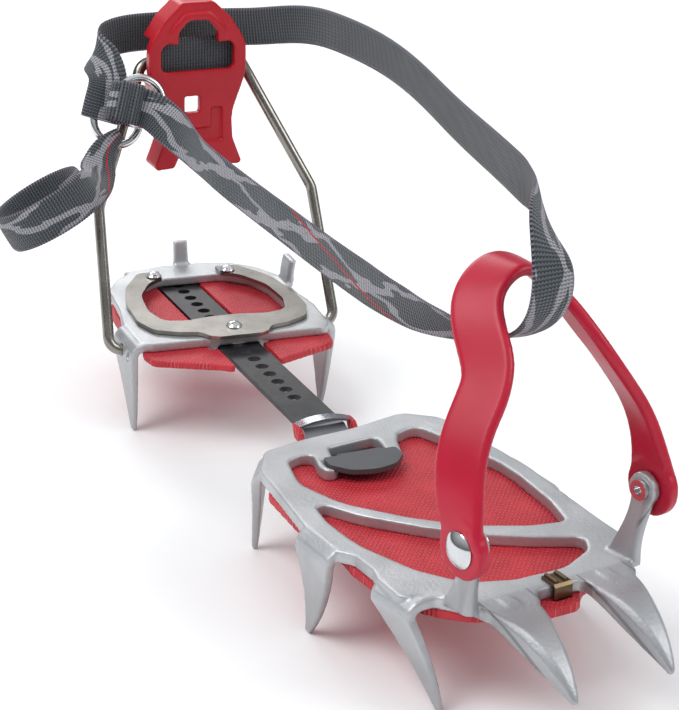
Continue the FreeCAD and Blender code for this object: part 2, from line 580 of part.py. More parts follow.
def pipe(points, radii, diameter):
    path = round_path(points, radii)
    run = (points[1] - points[0]).normalize()
    ring = Part.Wire(Part.makeCircle(diameter / 2.0, points[0], run))
    return path.makePipeShell([ring], True, True)


def heel_bail():
    """Stainless wire bail: ends turned in through the tooth flanges, legs, shoulders and top bar."""
    half = [(37.6, 0.0), (47.3, 0.0), (44.4, 55.0), (20.0, WIRE_RISE)]
    points = [bail_point(a, b) for a, b in half] + [bail_point(-a, b) for a, b in reversed(half)]
    return to_heel(pipe(points, [5.0, 9.0, 6.0, 6.0, 9.0, 5.0], WIRE_D))


TOP_BAR = bail_point(0, WIRE_RISE)


def lever_slab(corners, x0, x1):
    """Plate across the bar direction from an outline of (y, z - top bar height, radius)."""
    wire = rounded_wire([(y, z, r) for y, z, r in corners])
    face = Part.Face(wire)
    solid = face.extrude(V(0, 0, x1 - x0))
    # (x, y, z) of the flat drawing becomes (z, x, y)
    turn = FreeCAD.Matrix(0, 0, 1, TOP_BAR.x + x0, 1, 0, 0, 0, 0, 1, 0, TOP_BAR.z, 0, 0, 0, 1)
    return solid.transformGeometry(turn)


def mirrored(half):
    return half + [(-y, z, r) for y, z, r in reversed(half)]


def heel_lever():
    """Moulded plastic heel lever: shell with strap window, arch, bearing ribs for the wire and prongs."""
    outline = mirrored([(6.5, 24.5, 3), (13.5, 18, 8), (19.9, 8, 12), (20, -4, 16), (14, -20, 16),
                        (14.2, -30, 10), (18.6, -41.5, 1.5), (10, -41, 2), (7, -34.5, 8)])
    body = lever_slab(outline, LEVER_FRONT - 12.5, LEVER_FRONT)
    cavity = mirrored([(5, 21, 3), (11, 16, 7), (17, 7.5, 10), (17, -3.5, 14), (11, -20, 14), (11, -33, 3)])
    body = body.cut(lever_slab(cavity, LEVER_FRONT - 13.5, LEVER_FRONT - LEVER_WALL))
    window = mirrored([(15, 8.5, 3), (15, -2.5, 2.5)])
    body = body.cut(lever_slab(window, LEVER_FRONT - 6, LEVER_FRONT + 1))
    arch = mirrored([(8, 7, 0.5), (8.2, 13, 5), (4, 17.5, 4)])
    body = body.cut(lever_slab([(y, z, r) for y, z, r in arch], LEVER_FRONT - 6, LEVER_FRONT + 1))
    rim = mirrored([(11, 8.6, 0.5), (11.4, 14, 6), (5, 20.2, 5)])
    ring = lever_slab(rim, LEVER_FRONT - 0.5, LEVER_FRONT + 0.8).cut(lever_slab(arch, LEVER_FRONT - 2, LEVER_FRONT + 2))
    ring = ring.cut(lever_slab(window, LEVER_FRONT - 2, LEVER_FRONT + 2))
    body = body.fuse(ring)
    square = [(-5.5, -12.5, 0.6), (0.5, -12.5, 0.6), (0.5, -19, 0.6), (-5.5, -19, 0.6)]
    body = body.cut(lever_slab(square, LEVER_FRONT - 6, LEVER_FRONT + 1))
    recess = [(5.2, -17.5, 0.8), (10, -17.5, 0.8), (10, -31, 0.8), (-4.5, -31, 0.8), (-4.5, -25.5, 0.8), (5.2, -25.5, 0.8)]
    body = body.cut(lever_slab(recess, LEVER_FRONT - 1.2, LEVER_FRONT + 1))
    # sides open where the bail's shoulders and the strap leave, and bearing ribs on the top bar
    gate = [(-25, 10.4, 1), (25, 10.4, 1), (25, -8, 1), (-25, -8, 1)]
    body = body.cut(lever_slab(gate, LEVER_FRONT - 13.5, LEVER_FRONT - LEVER_WALL - 1.2))
    for side in (-1, 1):
        foot = [(side * 9.5, 5, 0.5), (side * 13.0, 5, 0.5), (side * 13.0, -15, 0.5), (side * 9.5, -15, 0.5)]
        body = body.fuse(lever_slab(foot, -3.6, LEVER_FRONT - LEVER_WALL + 0.3).cut(
            lever_slab([(-14, 6, 0.1), (14, 6, 0.1), (14, -9.2, 0.1), (-14, -9.2, 0.1)], 2.3, LEVER_FRONT)))
    bore = cylinder(WIRE_D / 2.0 + RUNNING, V(TOP_BAR.x, -24, TOP_BAR.z), V(TOP_BAR.x, 24, TOP_BAR.z))
    return to_heel(body.cut(bore).removeSplitter())


# ---------------------------------------------------------------- strap
def in_bail(a, b, d):
    """Point beside the heel bail: a across, b up the bail, d in front of its plane."""
    lean = radians(WIRE_TILT)
    point = bail_point(a, b) + V(cos(lean), 0, sin(lean)) * d
    return turned(point)


def turned(vector):
    """Bar frame to the crampon's frame for one vector or point."""
    swing = radians(BAR_SWING)
    return V(vector.x * cos(swing) - vector.y * sin(swing), vector.x * sin(swing) + vector.y * cos(swing), vector.z)


def strap(route, count, thick=STRAP_T):
    """Webbing along a route of (point, width direction, width)."""
    points = [stop[0] for stop in route]
    curve = Part.BSplineCurve()
    curve.interpolate(points)
    marks = curve.getKnots()
    wires = []
    for i in range(count + 1):
        at = marks[0] + (marks[-1] - marks[0]) * i / float(count)
        k = 0
        while k < len(points) - 2 and at > marks[k + 1]:
            k += 1
        share = (at - marks[k]) / (marks[k + 1] - marks[k])
        wide = route[k][1] * (1.0 - share) + route[k + 1][1] * share
        width = route[k][2] * (1.0 - share) + route[k + 1][2] * share
        run = curve.tangent(at)[0]
        across = (wide - run * wide.dot(run)).normalize()
        wires.append(section(curve.value(at), across, run.cross(across), width, thick, 0.2))
    return loft(wires, True)


FOLD_WIDE = turned(V(-sin(radians(WIRE_TILT)) * 0.93, 0.37, cos(radians(WIRE_TILT)) * 0.93))
FLAP_WIDE = turned(V(sin(radians(WIRE_TILT)) * 0.40, 0.915, -cos(radians(WIRE_TILT)) * 0.40))


def strap_slot():
    """Stretch of webbing inside the lever, in front of the bail's top bar."""
    x, z = TOP_BAR.x + 4.6, TOP_BAR.z + 2.4
    route = [(turned(V(x, y, z)), UP, STRAP_W) for y in (-16.6, 0, 16.6)]
    return strap(route, 4)


def strap_long():
    """One length of webbing: buckle flap, round behind the lever, over and under the toe bail, sewn fold."""
    flap = [(in_bail(-42.2, 88.0, 8.6), FLAP_WIDE), (in_bail(-39.2, 95.9, 8.6), FLAP_WIDE),
            (in_bail(-36.9, 102.6, 8.5), turned(V(0.05, 0.99, -0.1))),
            (in_bail(-37.4, 109.8, 6.0), turned(V(-0.15, 0.82, 0.57)))]
    behind = [(V(-165.0, -38.0, 140.5), V(0, 0.25, 0.97)), (V(-171.0, -31.0, 143.0), UP),
              (V(-176.0, -16.0, 143.5), UP), (V(-178.0, 0.0, 143.0), UP), (V(-175.5, 16.0, 143.5), UP),
              (V(-168.0, 28.0, 144.5), UP)]
    upper = [(V(-150, 59, 147), UP), (V(-118, 62, 149.5), UP), (V(-84, 59, 149.5), UP), (V(-45, 51, 148), UP),
             (V(-8, 40.5, 146), UP), (V(35, 27, 146), UP), (V(64, 17, 146.5), UP)]
    loop = [(V(84, 9, 146.0), V(0, -0.3, 0.95)), (V(99, 0, 142.5), V(0, -0.8, 0.6)),
            (V(106, -2, 134), V(0, -1, 0.2)), (V(104.2, -1.5, 121.4), V(0, -1, 0)),
            (V(93.4, -1.8, 110.6), V(0, -1, 0)),
            (V(79, -3.4, 106.0), V(0, -0.9, 0.3)), (V(64, -7, 104.3), V(0, -0.6, 0.8)),
            (V(45, -9.6, 103.6), V(0, -0.2, 0.97))]
    lower = [(V(20, -9.3, 103.7), UP), (V(-10, -6.8, 103.9), UP), (V(-40, -5.5, 105.7), UP),
             (V(-72, -4.2, 107.8), UP), (V(-105, -3.1, 111.2), UP)]
    fold = [(in_bail(-20.0, 84.2, 20.4), FOLD_WIDE), (in_bail(-24.6, 89.3, 17.4), FOLD_WIDE),
            (in_bail(-30.4, 91.8, 16.3), FOLD_WIDE)]
    fold += [(in_bail(-36.0 - 0.94 * FOLD_R * cos(radians(turn)), 93.9 + 0.34 * FOLD_R * cos(radians(turn)),
                      FOLD_MID + FOLD_R * sin(radians(turn))), FOLD_WIDE) for turn in (90, 45, 0, -45, -90)]
    fold.append((in_bail(-27.0, 90.7, FOLD_MID - FOLD_R), FOLD_WIDE))
    route = flap + [(turned(p), turned(w)) for p, w in behind] + upper + loop + lower + fold
    return strap([(point, wide, STRAP_W) for point, wide in route], 190)


def strap_patch():
    """Ribbed reinforcement sewn over the fold."""
    route = [(in_bail(a, b, FOLD_MID + FOLD_R + 2.1), FOLD_WIDE, 16.0) for a, b in ((-36.6, 94.1), (-28.0, 91.0))]
    return strap(route, 2, 2.0)


def strap_tail():
    """Free end of the webbing: bunched under the buckle, then one open coil."""
    down = COIL_UP * -1
    near = COIL_SIDE.cross(COIL_UP)
    route = [(in_bail(-35.6, 82.0, 11.2), turned(V(0, 1, 0)), 5.0),
             (in_bail(-42.0, 77.4, 12.0), turned(V(0, 1, -0.1)), 9.0),
             (in_bail(-47.2, 69.3, 16.0), turned(V(0.1, 1, -0.3)), 14.0)]
    for i in range(14):
        angle = radians(28 + 30 * i)
        radius = COIL_R + 2.2 - 0.34 * i
        point = COIL_CENTRE + COIL_SIDE * (radius * cos(angle)) + near * (radius * sin(angle))
        route.append((point, down, STRAP_W))
    return strap(route, 72)


def buckle_ring(a, b, d):
    lean = radians(WIRE_TILT)
    return Part.makeTorus(RING_R, RING_WIRE / 2.0, in_bail(a, b, d), turned(V(cos(lean), 0, sin(lean))))


def ring_upper():
    return buckle_ring(-26.6, 93.4, FOLD_MID)


def ring_lower():
    return buckle_ring(-34.7, 87.1, 5.8)


os.makedirs(OUT, exist_ok=True)
NODES = [toe_frame, toe_plate, plate_keeper, front_clip, toe_bail, bail_rivets, linking_bar,
         heel_frame, heel_plate, spring_plate, plate_rivets, lock_pin, heel_bail, heel_lever,
         strap_slot, strap_long, strap_patch, strap_tail, ring_upper, ring_lower]
for make in NODES:
    save(make.__name__, make())
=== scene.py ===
from math import cos, pi, radians, sin

import bpy
import numpy as np
from mathutils import Matrix, Vector


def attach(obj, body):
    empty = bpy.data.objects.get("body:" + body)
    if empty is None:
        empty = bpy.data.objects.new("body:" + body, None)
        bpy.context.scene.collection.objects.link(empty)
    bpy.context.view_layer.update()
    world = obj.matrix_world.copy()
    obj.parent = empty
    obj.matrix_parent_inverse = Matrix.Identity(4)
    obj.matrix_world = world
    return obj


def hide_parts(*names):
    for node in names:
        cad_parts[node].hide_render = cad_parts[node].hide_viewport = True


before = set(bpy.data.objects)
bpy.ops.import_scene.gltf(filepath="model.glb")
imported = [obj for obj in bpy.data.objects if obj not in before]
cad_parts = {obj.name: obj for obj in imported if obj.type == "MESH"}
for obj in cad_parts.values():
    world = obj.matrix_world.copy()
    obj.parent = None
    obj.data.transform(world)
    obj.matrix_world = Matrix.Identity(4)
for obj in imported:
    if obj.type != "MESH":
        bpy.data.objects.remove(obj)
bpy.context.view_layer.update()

# ------------------------------------------------------------------ camera
CAM_AT = Vector((0.5310, -0.3310, 0.3191))
AZ, EL, ROLL = radians(58.587), radians(21.677), radians(1.439)
back = Vector((sin(AZ) * cos(EL), -cos(AZ) * cos(EL), sin(EL)))
level = Vector((cos(AZ), sin(AZ), 0))
over = back.cross(level)
right = level * cos(ROLL) + over * sin(ROLL)
up = over * cos(ROLL) - level * sin(ROLL)
lens = bpy.data.cameras.new("camera")
lens.lens = 101.95
lens.sensor_width = 36.0
lens.clip_start = 0.01
camera = bpy.data.objects.new("camera", lens)
turn = Matrix((right, up, back)).transposed().to_4x4()
camera.matrix_world = Matrix.Translation(CAM_AT) @ turn
bpy.context.collection.objects.link(camera)
bpy.context.scene.camera = camera


# ------------------------------------------------------------------ node helpers
class Nodes:
    """A material's node tree, with short calls for the nodes used here."""

    def __init__(self, name):
        self.mat = bpy.data.materials.new(name)
        self.mat.use_nodes = True
        self.tree = self.mat.node_tree
        self.shader = self.tree.nodes["Principled BSDF"]

    def add(self, kind, inputs=(), **settings):
        node = self.tree.nodes.new(kind)
        for key, value in settings.items():
            setattr(node, key, value)
        for key, value in dict(inputs).items():
            self.put(node.inputs[key], value)
        return node

    def put(self, socket, value):
        if isinstance(value, bpy.types.NodeSocket):
            self.tree.links.new(value, socket)
        else:
            socket.default_value = value

    def math(self, operation, a, b=0.0, c=0.0):
        return self.add("ShaderNodeMath", {0: a, 1: b, 2: c}, operation=operation).outputs[0]

    def wave(self, value, pitch, phase=0.0):
        """Sine between 0 and 1 along value."""
        angle = self.math("MULTIPLY_ADD", value, 2 * pi / pitch, phase)
        return self.math("MULTIPLY_ADD", self.math("SINE", angle), 0.5, 0.5)

    def step(self, value, low, high):
        return self.add("ShaderNodeMapRange", {"Value": value, "From Min": low, "From Max": high},
                        interpolation_type="SMOOTHSTEP").outputs[0]

    def noise(self, vector, scale, detail=4.0, rough=0.55):
        return self.add("ShaderNodeTexNoise", {"Vector": vector, "Scale": scale, "Detail": detail,
                                               "Roughness": rough}).outputs["Fac"]

    def mix(self, fac, a, b):
        node = self.add("ShaderNodeMix", {"Factor": fac}, data_type="RGBA")
        self.put(node.inputs[6], a)
        self.put(node.inputs[7], b)
        return node.outputs[2]

    def place(self):
        return self.add("ShaderNodeTexCoord").outputs["Object"]

    def axes(self, vector):
        return self.add("ShaderNodeSeparateXYZ", {0: vector}).outputs

    def bump(self, height, distance, strength=1.0, below=None):
        inputs = {"Height": height, "Distance": distance, "Strength": strength}
        if below is not None:
            inputs["Normal"] = below
        return self.add("ShaderNodeBump", inputs).outputs[0]

    def finish(self, **values):
        names = {"color": "Base Color", "rough": "Roughness", "metal": "Metallic", "normal": "Normal",
                 "coat": "Coat Weight", "coat_rough": "Coat Roughness", "spec": "Specular IOR Level",
                 "sheen": "Sheen Weight", "sheen_rough": "Sheen Roughness", "aniso": "Anisotropic"}
        for key, value in values.items():
            self.put(self.shader.inputs[names[key]], value)
        return self.mat


# ------------------------------------------------------------------ materials
def cast_metal():
    n = Nodes("cast_aluminium")
    at = n.place()
    x, y, z = n.axes(at)[:3]
    peel = n.noise(at, 900.0, 2.0)
    grain = n.noise(at, 3200.0, 3.0)
    cloud = n.noise(at, 45.0, 3.0)
    worn = n.step(n.add("ShaderNodeNewGeometry").outputs["Pointiness"], 0.53, 0.62)
    low = n.step(z, 0.030, 0.012)
    base = n.mix(n.step(cloud, 0.3, 0.7), (0.46, 0.47, 0.485, 1), (0.57, 0.58, 0.595, 1))
    base = n.mix(n.math("MULTIPLY", low, 0.6), base, (0.36, 0.365, 0.375, 1))
    base = n.mix(n.math("MULTIPLY", worn, 0.5), base, (0.74, 0.745, 0.75, 1))
    base = n.mix(n.math("MULTIPLY", n.step(grain, 0.55, 0.75), 0.25), base, (0.28, 0.285, 0.30, 1))
    # the two front points: smoother and darker, each with a shallow V pressed into its face, drawn only as a painted
    # dark line of groove shade
    nose = n.step(x, 0.1085, 0.1105)
    apart = n.math("MINIMUM", n.math("ABSOLUTE", n.math("ADD", y, 0.0155)),
                   n.math("ABSOLUTE", n.math("SUBTRACT", y, 0.0205)))
    # painted shade: the V groove's shade is painted as a dark line in the colour
    groove_painted_shade = n.math("ABSOLUTE", n.math("SUBTRACT", n.math("MULTIPLY_ADD", apart, -2.4, z), 0.0150))
    groove_painted_shade = n.math("MULTIPLY", n.step(groove_painted_shade, 0.0009, 0.0004), nose)
    base = n.mix(n.math("MULTIPLY", nose, 0.35), base, (0.30, 0.305, 0.32, 1))
    base = n.mix(n.math("MULTIPLY", groove_painted_shade, 0.6), base, (0.12, 0.122, 0.13, 1))
    rough = n.math("MULTIPLY_ADD", low, -0.10, n.math("MULTIPLY_ADD", grain, 0.14, 0.39))
    soft = n.bump(peel, 0.00016, 0.85)
    return n.finish(color=base, rough=rough, metal=0.72, normal=n.bump(grain, 0.00005, 0.6, soft))


def snow_plastic():
    """Moulded red plate with the twill grain of the real one."""
    n = Nodes("snow_plate_red")
    at = n.place()
    x, y = n.axes(at)[:2]
    warp = n.math("MULTIPLY_ADD", n.noise(at, 160.0, 2.0), 0.0006, 0.0)
    diagonal = n.math("ADD", n.math("ADD", x, y), warp)
    crossing = n.math("SUBTRACT", x, y)
    twill = n.math("MULTIPLY", n.wave(diagonal, 0.0019), n.wave(crossing, 0.0027))
    cloud = n.noise(at, 60.0, 3.0)
    base = n.mix(n.step(cloud, 0.3, 0.75), (0.43, 0.014, 0.026, 1), (0.58, 0.030, 0.045, 1))
    base = n.mix(n.math("MULTIPLY", n.step(twill, 0.35, 0.85), 0.65), base, (0.78, 0.10, 0.12, 1))
    normal = n.bump(n.step(twill, 0.1, 0.8), 0.0004, 1.0)
    rough = n.math("MULTIPLY_ADD", n.noise(at, 700.0), 0.2, 0.42)
    return n.finish(color=base, rough=rough, normal=normal, spec=0.4)


def moulded_red(name, dark, light, rough_low):
    n = Nodes(name)
    at = n.place()
    cloud = n.noise(at, 30.0, 3.0)
    fine = n.noise(at, 2600.0, 2.0)
    scuff = n.step(n.noise(at, 320.0, 6.0, 0.7), 0.62, 0.72)
    worn = n.step(n.add("ShaderNodeNewGeometry").outputs["Pointiness"], 0.54, 0.64)
    base = n.mix(n.step(cloud, 0.3, 0.7), dark, light)
    pale = (min(1, light[0] * 1.25), light[1] * 2.2 + 0.02, light[2] * 2.0 + 0.02, 1)
    base = n.mix(n.math("MULTIPLY", worn, 0.35), base, pale)
    rough = n.math("MULTIPLY_ADD", scuff, 0.12, n.math("MULTIPLY_ADD", fine, 0.08, rough_low))
    wavy = n.bump(cloud, 0.0008, 0.25)
    return n.finish(color=base, rough=rough, normal=n.bump(fine, 0.00004, 0.5, wavy), spec=0.35)


def steel(name, color, rough, streak=(1.0, 1.0, 1.0), depth=0.00003, metal=1.0):
    n = Nodes(name)
    at = n.place()
    stretched = n.add("ShaderNodeMapping", {"Vector": at, "Scale": Vector(streak)}).outputs[0]
    lines = n.noise(stretched, 1500.0, 3.0, 0.6)
    cloud = n.noise(at, 90.0, 3.0)
    darker = tuple(c * 0.72 for c in color[:3]) + (1,)
    base = n.mix(n.step(cloud, 0.25, 0.75), darker, color)
    brighter = tuple(min(1, c * 1.3) for c in color[:3]) + (1,)
    base = n.mix(n.math("MULTIPLY", n.step(lines, 0.5, 0.8), 0.3), base, brighter)
    gloss = n.math("MULTIPLY_ADD", lines, rough * 0.5, rough * 0.75)
    return n.finish(color=base, rough=gloss, metal=metal, normal=n.bump(lines, depth, 0.6))


def bar_black():
    """Black oxide bar with a painted reflection on its cranked neck (coloured bright and metallic there) and softly
    grey on its T head.
    """
    n = Nodes("bar_black")
    at = n.place()
    x = n.axes(at)[0]
    fine = n.noise(at, 1400.0, 4.0)
    cloud = n.noise(at, 120.0, 3.0)
    # painted reflection: the cranked neck is given a bright metallic colour where light glances off its slope
    neck_painted_reflection = n.math("MULTIPLY", n.step(x, -0.0285, -0.0265), n.step(x, -0.012, -0.014))
    head = n.step(x, 0.000, 0.003)
    base = n.mix(n.step(cloud, 0.3, 0.7), (0.010, 0.010, 0.012, 1), (0.024, 0.024, 0.028, 1))
    base = n.mix(n.math("MULTIPLY", neck_painted_reflection, 0.9), base, (0.38, 0.39, 0.42, 1))
    base = n.mix(n.math("MULTIPLY", head, 0.55), base, (0.10, 0.105, 0.115, 1))
    metal = n.math("MULTIPLY_ADD", neck_painted_reflection, 0.8, 0.0)
    rough = n.math("MULTIPLY_ADD", fine, 0.2, 0.34)
    return n.finish(color=base, rough=rough, metal=metal, normal=n.bump(fine, 0.00004, 0.5))


WEB_PITCH = 0.00118


def webbing_mat(name, patterned):
    """Flat webbing read from the strap's own UV: u metres along it times 10, v across it from 0 to 1."""
    n = Nodes(name)
    uv = n.add("ShaderNodeTexCoord").outputs["UV"]
    u, v = n.axes(uv)[:2]
    run = n.math("MULTIPLY", u, 0.1)
    across = n.math("MULTIPLY", v, 0.015)
    # ribs across the strap, each bent into a shallow chevron per warp yarn
    yarn = n.wave(across, 0.00125)
    skewed = n.math("MULTIPLY_ADD", yarn, 0.00028, run)
    rib = n.wave(skewed, WEB_PITCH)
    weave = n.math("MULTIPLY", n.math("MULTIPLY_ADD", rib, 0.75, 0.25), n.math("MULTIPLY_ADD", yarn, 0.35, 0.65))
    fuzz = n.noise(n.place(), 2600.0, 3.0)
    tone = n.noise(n.place(), 55.0, 2.0)
    dark = n.mix(tone, (0.018, 0.021, 0.025, 1), (0.040, 0.046, 0.052, 1))
    bright = n.mix(tone, (0.085, 0.098, 0.108, 1), (0.13, 0.145, 0.155, 1))
    base = n.mix(n.step(weave, 0.15, 0.8), dark, bright)
    if patterned:
        flow = n.add("ShaderNodeCombineXYZ", {0: n.math("MULTIPLY", run, 0.30), 1: n.math("MULTIPLY", across, 1.1)})
        wobble = n.noise(flow.outputs[0], 190.0, 1.5, 0.5)
        jag = n.math("ABSOLUTE", n.math("SUBTRACT", n.wave(n.math("MULTIPLY_ADD", across, 4.0, run), 0.018), 0.5))
        flame = n.math("MULTIPLY_ADD", wobble, 0.050, n.math("MULTIPLY_ADD", across, 4.6, run))
        flame = n.math("MULTIPLY_ADD", jag, 0.007, flame)
        tongue = n.step(n.wave(flame, 0.060), 0.86, 0.90)
        second = n.math("MULTIPLY_ADD", wobble, -0.040, n.math("MULTIPLY_ADD", across, -5.5, run))
        thin = n.step(n.wave(second, 0.083), 0.955, 0.975)
        pale = n.math("MAXIMUM", tongue, thin)
        lilac = n.mix(n.step(weave, 0.1, 0.7), (0.13, 0.125, 0.145, 1), (0.44, 0.43, 0.47, 1))
        base = n.mix(n.math("MULTIPLY", pale, 0.85), base, lilac)
        stripe = n.wave(n.math("MULTIPLY_ADD", across, -5.2, run), 0.205, -0.4)
        base = n.mix(n.step(stripe, 0.9988, 0.9994), base, (0.45, 0.012, 0.018, 1))
    # woven edges with lilac picks
    rim = n.step(n.math("ABSOLUTE", n.math("SUBTRACT", v, 0.5)), 0.435, 0.455)
    pick = n.step(n.wave(run, WEB_PITCH), 0.45, 0.7)
    edge = n.mix(pick, (0.020, 0.020, 0.024, 1), (0.23, 0.19, 0.25, 1))
    base = n.mix(n.math("MULTIPLY", rim, 0.75), base, edge)
    height = n.math("MULTIPLY_ADD", fuzz, 0.12, weave)
    normal = n.bump(height, 0.00035, 1.0)
    return n.finish(color=base, rough=n.math("MULTIPLY_ADD", fuzz, 0.2, 0.66), normal=normal, sheen=0.25,
                    sheen_rough=0.4, spec=0.25)


CAST = cast_metal()
RED_PLATE = snow_plastic()
BAIL_RED = moulded_red("bail_red", (0.43, 0.006, 0.028, 1), (0.50, 0.010, 0.038, 1), 0.29)
LEVER_RED = moulded_red("lever_red", (0.42, 0.006, 0.016, 1), (0.50, 0.010, 0.022, 1), 0.25)
PLAIN = webbing_mat("webbing_plain", False)
PRINTED = webbing_mat("webbing_flame", True)
metals = {
    "wire": steel("bail_wire", (0.34, 0.32, 0.29, 1), 0.26, (1, 1, 0.2)),
    "spring": steel("lock_plate_steel", (0.32, 0.30, 0.275, 1), 0.30, (0.3, 1, 1)),
    "chrome": steel("rivet_chrome", (0.80, 0.81, 0.83, 1), 0.10, depth=0.00001),
    "keeper": steel("keeper_steel", (0.50, 0.52, 0.57, 1), 0.25, (1, 0.2, 1)),
    "bronze": steel("clip_bronze", (0.17, 0.12, 0.07, 1), 0.32),
}

finishes = {"toe_frame": CAST, "heel_frame": CAST, "toe_plate": RED_PLATE, "heel_plate": RED_PLATE,
            "toe_bail": BAIL_RED, "heel_lever": LEVER_RED, "linking_bar": bar_black(),
            "plate_keeper": metals["keeper"], "front_clip": metals["bronze"], "bail_rivets": metals["chrome"],
            "plate_rivets": metals["chrome"], "lock_pin": metals["chrome"], "spring_plate": metals["spring"],
            "heel_bail": metals["wire"], "ring_upper": metals["chrome"], "ring_lower": metals["chrome"]}
for name, material in finishes.items():
    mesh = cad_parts[name].data
    mesh.materials.clear()
    mesh.materials.append(material)
    for face in mesh.polygons:
        face.material_index = 0


# ------------------------------------------------------------------ softened CAD edges
def melt(name, voxel, rounds):
    """Rounds a cast or moulded node's edges with modifiers only."""
    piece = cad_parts[name]
    remesh = piece.modifiers.new("skin", "REMESH")
    remesh.mode = "VOXEL"
    remesh.voxel_size = voxel
    remesh.use_smooth_shade = True
    smooth = piece.modifiers.new("soft", "SMOOTH")
    smooth.factor = 0.5
    smooth.iterations = rounds


def crisp(name, width, segments=2):
    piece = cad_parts[name]
    bevel = piece.modifiers.new("edges", "BEVEL")
    bevel.width = width
    bevel.segments = segments
    bevel.limit_method = "ANGLE"
    bevel.angle_limit = radians(35)
    bevel.harden_normals = True


for name, voxel, rounds in [("toe_frame", 0.00055, 5), ("heel_frame", 0.00055, 4), ("toe_bail", 0.0006, 5),
                            ("heel_lever", 0.00045, 3), ("toe_plate", 0.0006, 4), ("heel_plate", 0.0006, 4)]:
    melt(name, voxel, rounds)
for name, width in [("spring_plate", 0.0003), ("linking_bar", 0.0003), ("front_clip", 0.00015)]:
    crisp(name, width)


# ------------------------------------------------------------------ webbing
BAR_SWING = radians(-7.3)          # bar's swing about the T slot
LEAN = radians(21.0)               # heel bail's lean back from upright
WIRE_X, WIRE_Z = -125.6, 31.8      # heel bail's hinge axis in the bar frame, millimetres
WIRE_RISE = 109.5                  # from that axis to the bail's top bar


def turned(x, y, z):
    """Bar frame in millimetres to the crampon's frame in metres."""
    c, s = cos(BAR_SWING), sin(BAR_SWING)
    return np.array((x * c - y * s, x * s + y * c, z)) / 1000.0


def in_bail(a, b, d):
    """Point by the heel bail: a across, b up, d in front of its plane, millimetres."""
    return turned(WIRE_X - b * sin(LEAN) + d * cos(LEAN), a, WIRE_Z + b * cos(LEAN) + d * sin(LEAN))


def way(x, y, z):
    """Direction given in the bar frame."""
    return turned(x, y, z) * 1000.0


def here(x, y, z):
    """Millimetres to metres, in the crampon's own frame."""
    return np.array((x, y, z)) / 1000.0


UP = np.array((0.0, 0.0, 1.0))
FOLD = way(-sin(LEAN) * 0.93, 0.37, cos(LEAN) * 0.93)
FLAP = way(sin(LEAN) * 0.40, 0.915, -cos(LEAN) * 0.40)


def natural(marks, values, at):
    """Natural cubic spline through values at marks."""
    marks, values = np.asarray(marks), np.asarray(values, float)
    count = len(marks)
    gaps = np.diff(marks)
    matrix = np.eye(count)
    rhs = np.zeros_like(values)
    for i in range(1, count - 1):
        matrix[i, i - 1:i + 2] = gaps[i - 1], 2 * (gaps[i - 1] + gaps[i]), gaps[i]
        rhs[i] = 6 * ((values[i + 1] - values[i]) / gaps[i] - (values[i] - values[i - 1]) / gaps[i - 1])
    bends = np.linalg.solve(matrix, rhs)
    k = np.clip(np.searchsorted(marks, at) - 1, 0, count - 2)
    h = gaps[k][:, None]
    lo = ((marks[k + 1] - at)[:, None]) / h
    hi = 1 - lo
    return (lo * values[k] + hi * values[k + 1]
            + ((lo ** 3 - lo) * bends[k] + (hi ** 3 - hi) * bends[k + 1]) * h * h / 6)


FACETS = 12                        # faces across each side of a strap


